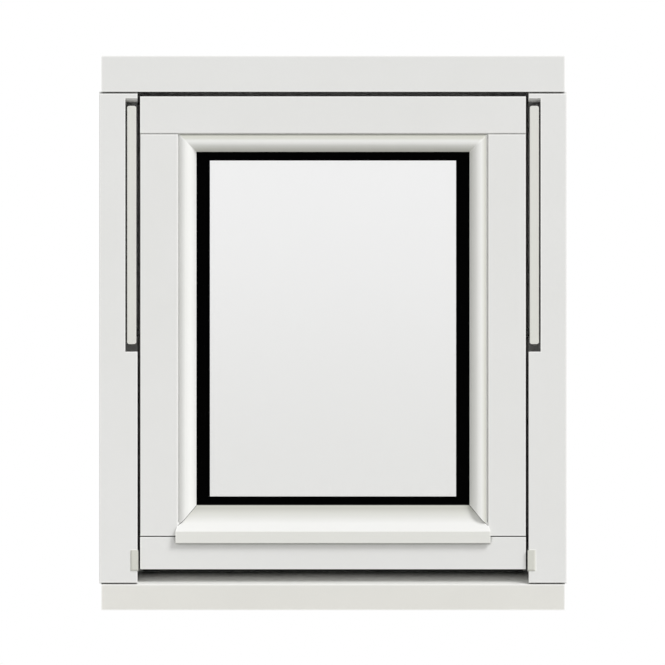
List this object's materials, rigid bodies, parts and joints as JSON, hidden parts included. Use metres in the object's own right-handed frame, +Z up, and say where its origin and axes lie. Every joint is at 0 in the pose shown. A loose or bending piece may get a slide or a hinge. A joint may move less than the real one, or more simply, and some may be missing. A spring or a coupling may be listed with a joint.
{
  "type": "centre pivot window",
  "caption": "White painted timber window: a double-glazed sash with moulded beads and a drip nose, hung on side arms at mid height in a rebated frame with a sloping sill.",
  "frame": {"origin": "middle of the sill's underside, half way through the frame's depth", "axes": "+X to the right seen from outdoors, +Y indoors, +Z up"},
  "size_m": [0.6, 0.1125, 0.712],
  "materials": {
    "painted_timber": "satin white paint",
    "arm_metal": "satin off-white coating",
    "pin_steel": "blackened",
    "keeper_plastic": "satin",
    "black_rubber": "matte",
    "clear_glass": "polished",
    "spacer_black": "matte",
    "handle_metal": "satin white coating"
  },
  "bodies": {
    "root": {"frame_head": "painted_timber", "frame_left_jamb": "painted_timber", "frame_right_jamb": "painted_timber", "frame_sill": "painted_timber", "frame_weather_seal": "black_rubber", "left_pivot_arm": "arm_metal", "right_pivot_arm": "arm_metal", "left_arm_pin": "pin_steel", "right_arm_pin": "pin_steel", "left_sash_pivot": "pin_steel", "right_sash_pivot": "pin_steel", "left_keeper": "keeper_plastic", "right_keeper": "keeper_plastic", "sash_top_rail": "painted_timber", "sash_bottom_rail": "painted_timber", "sash_left_stile": "painted_timber", "sash_right_stile": "painted_timber", "top_glazing_bead": "painted_timber", "left_glazing_bead": "painted_timber", "right_glazing_bead": "painted_timber", "bottom_drip_bead": "painted_timber", "outer_pane": "clear_glass", "inner_pane": "clear_glass", "spacer_bar": "spacer_black", "outer_glazing_rubber": "black_rubber", "inner_glazing_rubber": "black_rubber", "handle_plate": "handle_metal", "handle_neck": "handle_metal", "handle_grip": "handle_metal"}
  },
  "joints": []
}
